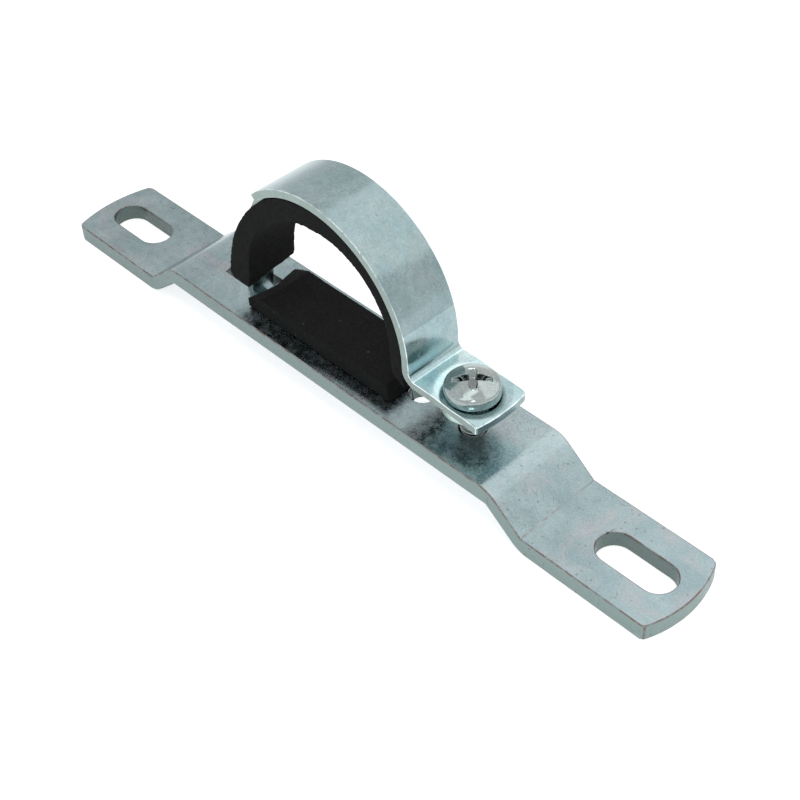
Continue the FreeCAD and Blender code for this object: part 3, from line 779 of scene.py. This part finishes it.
def zinc_group():
    """Zinc plate: clouded and tinted tone, mottling, specks, hair scratches, sheared faces, and an edge
    colour set per piece for worn bare edges, painted crease shade and painted highlights.
    """
    tree = bpy.data.node_groups.new("zinc_plate", "ShaderNodeTree")
    for name, kind, value in (
        ("Deep", "NodeSocketColor", (0.3, 0.36, 0.38, 1)),
        ("Pale", "NodeSocketColor", (0.5, 0.56, 0.58, 1)),
        ("Tint", "NodeSocketColor", (0.5, 0.5, 0.55, 1)),
        ("Cut", "NodeSocketColor", (0.25, 0.3, 0.3, 1)),
        ("Wear And Painted Light", "NodeSocketColor", (0.3, 0.25, 0.23, 1)),
        ("Cut Mask", "NodeSocketFloat", 0.0),
        ("Edge", "NodeSocketFloat", 0.0),
        ("Lift", "NodeSocketFloat", 1.0),
        ("Specks", "NodeSocketFloat", 0.3),
        ("Hairs", "NodeSocketFloat", 0.5),
        ("Low Roughness", "NodeSocketFloat", 0.25),
        ("High Roughness", "NodeSocketFloat", 0.45),
    ):
        socket = tree.interface.new_socket(name, in_out="INPUT", socket_type=kind)
        socket.default_value = value
    tree.interface.new_socket("Color", in_out="OUTPUT", socket_type="NodeSocketColor")
    tree.interface.new_socket("Roughness", in_out="OUTPUT", socket_type="NodeSocketFloat")
    tree.interface.new_socket("Height", in_out="OUTPUT", socket_type="NodeSocketFloat")
    given = tree.nodes.new("NodeGroupInput").outputs
    result = tree.nodes.new("NodeGroupOutput").inputs
    place = add(tree, "ShaderNodeTexCoord").outputs["Object"]

    def cloud(scale, detail, rough, warp=0.0):
        item = add(tree, "ShaderNodeTexNoise", None, Vector=place, Scale=scale, Detail=detail,
                   Roughness=rough, Distortion=warp)
        return item.outputs[0]

    def speckle(scale, share, low, high):
        """Round spots in a share of the cells of a cell pattern."""
        dots = add(tree, "ShaderNodeTexVoronoi", None, Vector=place, Scale=scale)
        pick = add(tree, "ShaderNodeSeparateColor", None, Color=dots.outputs["Color"]).outputs[0]
        picked = math_node(tree, "LESS_THAN", pick, share)
        return math_node(tree, "MULTIPLY", picked, remap(tree, dots.outputs["Distance"], low, high, 1.0, 0.0))

    def hairs(scale, width, warp, low):
        """Broken bits of the borders of a warped cell pattern."""
        bent = add(tree, "ShaderNodeTexNoise", None, Vector=place, Scale=warp, Detail=2.0)
        shift = add(tree, "ShaderNodeVectorMath", {"operation": "SCALE"}, i0=bent.outputs["Color"],
                    Scale=0.004)
        moved = add(tree, "ShaderNodeVectorMath", {"operation": "ADD"}, i0=place, i1=shift.outputs[0])
        cells = add(tree, "ShaderNodeTexVoronoi", {"feature": "DISTANCE_TO_EDGE"},
                    Vector=moved.outputs[0], Scale=scale)
        line = remap(tree, cells.outputs["Distance"], 0.0, width, 1.0, 0.0)
        return math_node(tree, "MULTIPLY", line, remap(tree, cloud(scale * 1.7, 2.0, 0.5), low, low + 0.05))

    broad = cloud(85.0, 4.0, 0.55, 0.4)
    mottle = cloud(520.0, 8.0, 0.72)
    grain = cloud(2600.0, 4.0, 0.65)
    tone = mixed(tree, remap(tree, broad, 0.36, 0.64), given["Deep"], given["Pale"])
    tone = mixed(tree, remap(tree, cloud(150.0, 5.0, 0.6, 0.8), 0.5, 0.72, 0.0, 0.7), tone, given["Tint"])
    tone = mixed(tree, 1.0, tone, remap(tree, mottle, 0.3, 0.7, 0.86, 1.12), "MULTIPLY")
    tone = mixed(tree, 1.0, tone, remap(tree, grain, 0.3, 0.7, 0.84, 1.14), "MULTIPLY")
    cut_tone = mixed(tree, 1.0, given["Cut"], remap(tree, mottle, 0.3, 0.7, 0.86, 1.12), "MULTIPLY")
    tone = mixed(tree, remap(tree, given["Cut Mask"], 0.4, 0.75), tone, cut_tone)
    # edge colour, set per piece: worn bare edges and painted crease shade on the bar, a painted highlight on
    # the band and the screw
    rim = math_node(tree, "MULTIPLY", given["Edge"], remap(tree, mottle, 0.42, 0.56, 0.3, 1.0))
    tone = mixed(tree, rim, tone, given["Wear And Painted Light"])
    small = speckle(620.0, math_node(tree, "MULTIPLY", given["Specks"], 0.6), 0.06, 0.16)
    large = speckle(240.0, math_node(tree, "MULTIPLY", given["Specks"], 0.3), 0.03, 0.075)
    spots = math_node(tree, "MAXIMUM", small, large)
    spots = math_node(tree, "MULTIPLY", spots, remap(tree, grain, 0.35, 0.55))
    tone = mixed(tree, math_node(tree, "MULTIPLY", spots, 0.7), tone, SPECK_TONE)
    lines = math_node(tree, "MULTIPLY", hairs(330.0, 0.03, 420.0, 0.58), given["Hairs"])
    tone = mixed(tree, math_node(tree, "MULTIPLY", lines, 0.55), tone, HAIR_TONE)
    long = add(tree, "ShaderNodeMapping", None, Vector=place, Rotation=(0.0, 0.0, 0.5),
               Scale=(0.05, 1.0, 1.0))
    rub = add(tree, "ShaderNodeTexNoise", None, Vector=long.outputs[0], Scale=2400.0, Detail=2.0,
              Roughness=0.5)
    streaks = remap(tree, rub.outputs[0], 0.66, 0.74)
    rubbed = math_node(tree, "MULTIPLY", streaks, remap(tree, broad, 0.42, 0.6))
    rubbed = math_node(tree, "MULTIPLY", rubbed, given["Hairs"])
    tone = mixed(tree, math_node(tree, "MULTIPLY", rubbed, 0.35), tone, RUB_TONE)
    # painted light and shade: the tone is scaled by the piece's painted light factor
    tone = add(tree, "ShaderNodeVectorMath", {"operation": "SCALE"}, i0=tone, Scale=given["Lift"]).outputs[0]
    tree.links.new(tone, result["Color"])
    rough = add(tree, "ShaderNodeMapRange", None, Value=mottle, From_Min=0.35, From_Max=0.65,
                To_Min=given["Low Roughness"], To_Max=given["High Roughness"]).outputs[0]
    rough = math_node(tree, "ADD", rough, math_node(tree, "MULTIPLY", given["Cut Mask"], 0.12))
    rough = math_node(tree, "ADD", rough, remap(tree, grain, 0.35, 0.65, -0.05, 0.05))
    tree.links.new(rough, result["Roughness"])
    high = math_node(tree, "ADD", mottle, math_node(tree, "MULTIPLY", grain, 0.35))
    high = math_node(tree, "SUBTRACT", high, math_node(tree, "MULTIPLY", spots, 0.3))
    high = math_node(tree, "SUBTRACT", high, math_node(tree, "MULTIPLY", lines, 0.25))
    tree.links.new(high, result["Height"])
    return tree


ZINC = zinc_group()


def new_material(name):
    material = bpy.data.materials.new(name)
    material.use_nodes = True
    tree = material.node_tree
    tree.nodes.clear()
    shader = tree.nodes.new("ShaderNodeBsdfPrincipled")
    out = tree.nodes.new("ShaderNodeOutputMaterial")
    tree.links.new(shader.outputs[0], out.inputs[0])
    return material, tree, shader


def zinc_material(name, look, cut_axis, bump, painted_fade=None):
    """Zinc plate over a piece.

    The cut axis is "Y" where the sheared faces look along Y, "upright" where they stand, and None
    where the piece has none. The painted fade is (x, x, factor, factor): painted light and shade that change
    the tone along the piece.
    """
    material, tree, shader = new_material(name)
    plate = tree.nodes.new("ShaderNodeGroup")
    plate.node_tree = ZINC
    for key, value in look.items():
        plate.inputs[key].default_value = value
    normal = add(tree, "ShaderNodeTexCoord").outputs["Normal"]
    facing = add(tree, "ShaderNodeSeparateXYZ", None, Vector=normal)
    if cut_axis == "Y":
        mask = math_node(tree, "ABSOLUTE", facing.outputs["Y"])
        tree.links.new(mask, plate.inputs["Cut Mask"])
    elif cut_axis == "upright":
        level = math_node(tree, "ABSOLUTE", facing.outputs["Z"])
        mask = remap(tree, level, 0.0, 0.72, 1.0, 0.0)
        tree.links.new(mask, plate.inputs["Cut Mask"])
    edge = add(tree, "ShaderNodeAttribute", {"attribute_name": "edge"}).outputs["Fac"]
    tree.links.new(edge, plate.inputs["Edge"])
    # painted light and shade: a tone factor per face or point, times the painted fade along X where one is
    # given
    painted_light = add(tree, "ShaderNodeAttribute", {"attribute_name": "painted_light"}).outputs["Fac"]
    if painted_fade:
        place = add(tree, "ShaderNodeTexCoord").outputs["Object"]
        along = add(tree, "ShaderNodeSeparateXYZ", None, Vector=place).outputs["X"]
        painted_light = math_node(tree, "MULTIPLY", painted_light, remap(tree, along, *painted_fade))
    tree.links.new(painted_light, plate.inputs["Lift"])
    shader.inputs["Metallic"].default_value = 1.0
    tree.links.new(plate.outputs["Color"], shader.inputs["Base Color"])
    tree.links.new(plate.outputs["Roughness"], shader.inputs["Roughness"])
    relief = add(tree, "ShaderNodeBump", None, Strength=bump, Distance=ZINC_RELIEF,
                 Height=plate.outputs["Height"])
    tree.links.new(relief.outputs[0], shader.inputs["Normal"])
    return material


def foam_material(name):
    material, tree, shader = new_material(name)
    place = add(tree, "ShaderNodeTexCoord").outputs["Object"]
    cells = add(tree, "ShaderNodeTexVoronoi", None, Vector=place, Scale=3600.0)
    grain = add(tree, "ShaderNodeTexNoise", None, Vector=place, Scale=1500.0, Detail=4.0, Roughness=0.7)
    cloud = add(tree, "ShaderNodeTexNoise", None, Vector=place, Scale=160.0, Detail=4.0, Roughness=0.6)
    dots = add(tree, "ShaderNodeTexVoronoi", None, Vector=place, Scale=700.0)
    pick = add(tree, "ShaderNodeSeparateColor", None, Color=dots.outputs["Color"]).outputs[0]
    picked = math_node(tree, "LESS_THAN", pick, 0.05)
    dust = math_node(tree, "MULTIPLY", picked, remap(tree, dots.outputs["Distance"], 0.08, 0.2, 1.0, 0.0))
    tone = mixed(tree, remap(tree, cloud.outputs[0], 0.35, 0.65), *FOAM_TONES)
    tone = mixed(tree, remap(tree, grain.outputs[0], 0.45, 0.75), tone, FOAM_GRAIN)
    tone = mixed(tree, math_node(tree, "MULTIPLY", dust, 0.8), tone, FOAM_DUST)
    tree.links.new(tone, shader.inputs["Base Color"])
    shader.inputs["Roughness"].default_value = 0.9
    shader.inputs["Specular IOR Level"].default_value = 0.2
    high = math_node(tree, "ADD", cells.outputs["Distance"], grain.outputs[0])
    relief = add(tree, "ShaderNodeBump", None, Strength=0.8, Distance=FOAM_RELIEF, Height=high)
    tree.links.new(relief.outputs[0], shader.inputs["Normal"])
    return material


bar_zinc = zinc_material("bar_zinc", {
    "Deep": (0.26, 0.345, 0.365, 1),
    "Pale": (0.36, 0.445, 0.46, 1),
    "Tint": (0.40, 0.39, 0.405, 1),
    "Cut": (0.235, 0.31, 0.295, 1),
    # bar: worn bare edges, and painted shade where the crease is marked
    "Wear And Painted Light": (0.19, 0.145, 0.135, 1),
    "Specks": 1.0,
    "Hairs": 1.0,
    "Low Roughness": 0.14,
    "High Roughness": 0.4,
}, "upright", 0.8, BAR_PAINTED_FADE)
band_zinc = zinc_material("band_zinc", {
    "Deep": (0.23, 0.32, 0.335, 1),
    "Pale": (0.30, 0.385, 0.395, 1),
    "Tint": (0.31, 0.355, 0.345, 1),
    "Cut": (0.29, 0.36, 0.335, 1),
    # painted highlight on the band's rounded edges
    "Wear And Painted Light": (0.62, 0.70, 0.72, 1),
    "Specks": 0.16,
    "Hairs": 0.25,
    "Low Roughness": 0.15,
    "High Roughness": 0.24,
}, "Y", 0.22)
screw_zinc = zinc_material("screw_zinc", {
    "Deep": (0.31, 0.365, 0.36, 1),
    "Pale": (0.39, 0.44, 0.43, 1),
    "Tint": (0.42, 0.42, 0.40, 1),
    # painted highlight on the screw's rounded edges
    "Wear And Painted Light": (0.46, 0.53, 0.53, 1),
    "Specks": 0.1,
    "Hairs": 0.2,
    "Low Roughness": 0.08,
    "High Roughness": 0.14,
}, None, 0.08)
lining_rubber = foam_material("lining_rubber")
pad_rubber = foam_material("pad_rubber")

# ---------------------------------------------------------------- pieces
hold(make_bar(), "base_bar", bar_zinc)
hold(make_band(), "clamp_band", band_zinc)
lining = foam("arch_lining", "lining_foam", lining_fit)
hold(lining, "arch_lining", lining_rubber)
pad = foam("base_pad", "pad_foam", pad_fit)
hold(pad, "base_pad", pad_rubber)
hold(make_screw(), "clamp_screw", screw_zinc)
hold(make_thread(screw_zinc), "clamp_screw", screw_zinc)

# ---------------------------------------------------------------- camera, floor and light
CAMERA_AT = Vector((160.089, -132.205, 192.391)) * MM
AZIMUTH = math.radians(48.371)
ELEVATION = math.radians(43.483)
ROLL = math.radians(-3.303)
FOCAL_LENGTH = 67.887
SENSOR = 36.0


def add_camera():
    flat = math.cos(ELEVATION)
    back = Vector((math.sin(AZIMUTH) * flat, -math.cos(AZIMUTH) * flat, math.sin(ELEVATION)))
    level = Vector((math.cos(AZIMUTH), math.sin(AZIMUTH), 0))
    rise = back.cross(level)
    right = level * math.cos(ROLL) + rise * math.sin(ROLL)
    up = rise * math.cos(ROLL) - level * math.sin(ROLL)
    data = bpy.data.cameras.new("camera")
    data.lens = FOCAL_LENGTH
    data.sensor_width = SENSOR
    data.clip_start = 0.01
    data.clip_end = 10
    camera = bpy.data.objects.new("camera", data)
    bpy.context.scene.collection.objects.link(camera)
    camera.matrix_world = Matrix.Translation(CAMERA_AT) @ Matrix((right, up, back)).transposed().to_4x4()
    bpy.context.scene.camera = camera


def add_lamp(name, place, aim, width, height, power):
    data = bpy.data.lights.new(name, "AREA")
    data.shape = "RECTANGLE"
    data.size = width
    data.size_y = height
    data.energy = power
    lamp = bpy.data.objects.new(name, data)
    bpy.context.scene.collection.objects.link(lamp)
    lamp.location = place
    lamp.rotation_mode = "QUATERNION"
    lamp.rotation_quaternion = (Vector(aim) - Vector(place)).to_track_quat("-Z", "Y")


def plain_sight(tree):
    """1 for rays from the eye, and for the same rays after a mirror or a glass."""
    path = tree.nodes.new("ShaderNodeLightPath")
    seen = math_node(tree, "MAXIMUM", path.outputs["Is Camera Ray"], path.outputs["Is Transmission Ray"])
    return math_node(tree, "MAXIMUM", seen, path.outputs["Is Glossy Ray"])


def add_floor():
    build = bmesh.new()
    bmesh.ops.create_grid(build, x_segments=1, y_segments=1, size=1.5)
    floor = new_object("floor", mesh_of("floor", build))
    material, tree, shader = new_material("floor_paper")
    shader.inputs["Base Color"].default_value = (0.8, 0.8, 0.8, 1)
    shader.inputs["Roughness"].default_value = 1.0
    shader.inputs["Specular IOR Level"].default_value = 0.0
    seen = plain_sight(tree)
    shader.inputs["Emission Color"].default_value = (1, 1, 1, 1)
    tree.links.new(math_node(tree, "MULTIPLY", seen, 0.7), shader.inputs["Emission Strength"])
    floor.data.materials.append(material)


def add_world():
    world = bpy.data.worlds.new("studio")
    bpy.context.scene.world = world
    world.use_nodes = True
    tree = world.node_tree
    tree.nodes.clear()
    seen = plain_sight(tree)
    plain = add(tree, "ShaderNodeBackground", None, Color=(1, 1, 1, 1), Strength=1.0)
    soft = add(tree, "ShaderNodeBackground", None, Color=(0.9, 0.95, 1, 1), Strength=0.55)
    mix = add(tree, "ShaderNodeMixShader", None, i0=seen, i1=soft.outputs[0], i2=plain.outputs[0])
    out = tree.nodes.new("ShaderNodeOutputWorld")
    tree.links.new(mix.outputs[0], out.inputs[0])


add_camera()
add_floor()
add_world()
add_lamp("back_softbox", (0.12, 0.42, 0.5), (0.03, 0, 0.01), 0.8, 0.5, 0.6)
add_lamp("high_lamp", (0.21, -0.16, 0.6), (0.03, 0, 0.02), 0.05, 0.05, 0.3)
add_lamp("top_softbox", (-0.02, -0.1, 0.6), (0, 0, 0.01), 0.14, 0.5, 0.2)

view = bpy.context.scene.view_settings
view.view_transform = "Standard"
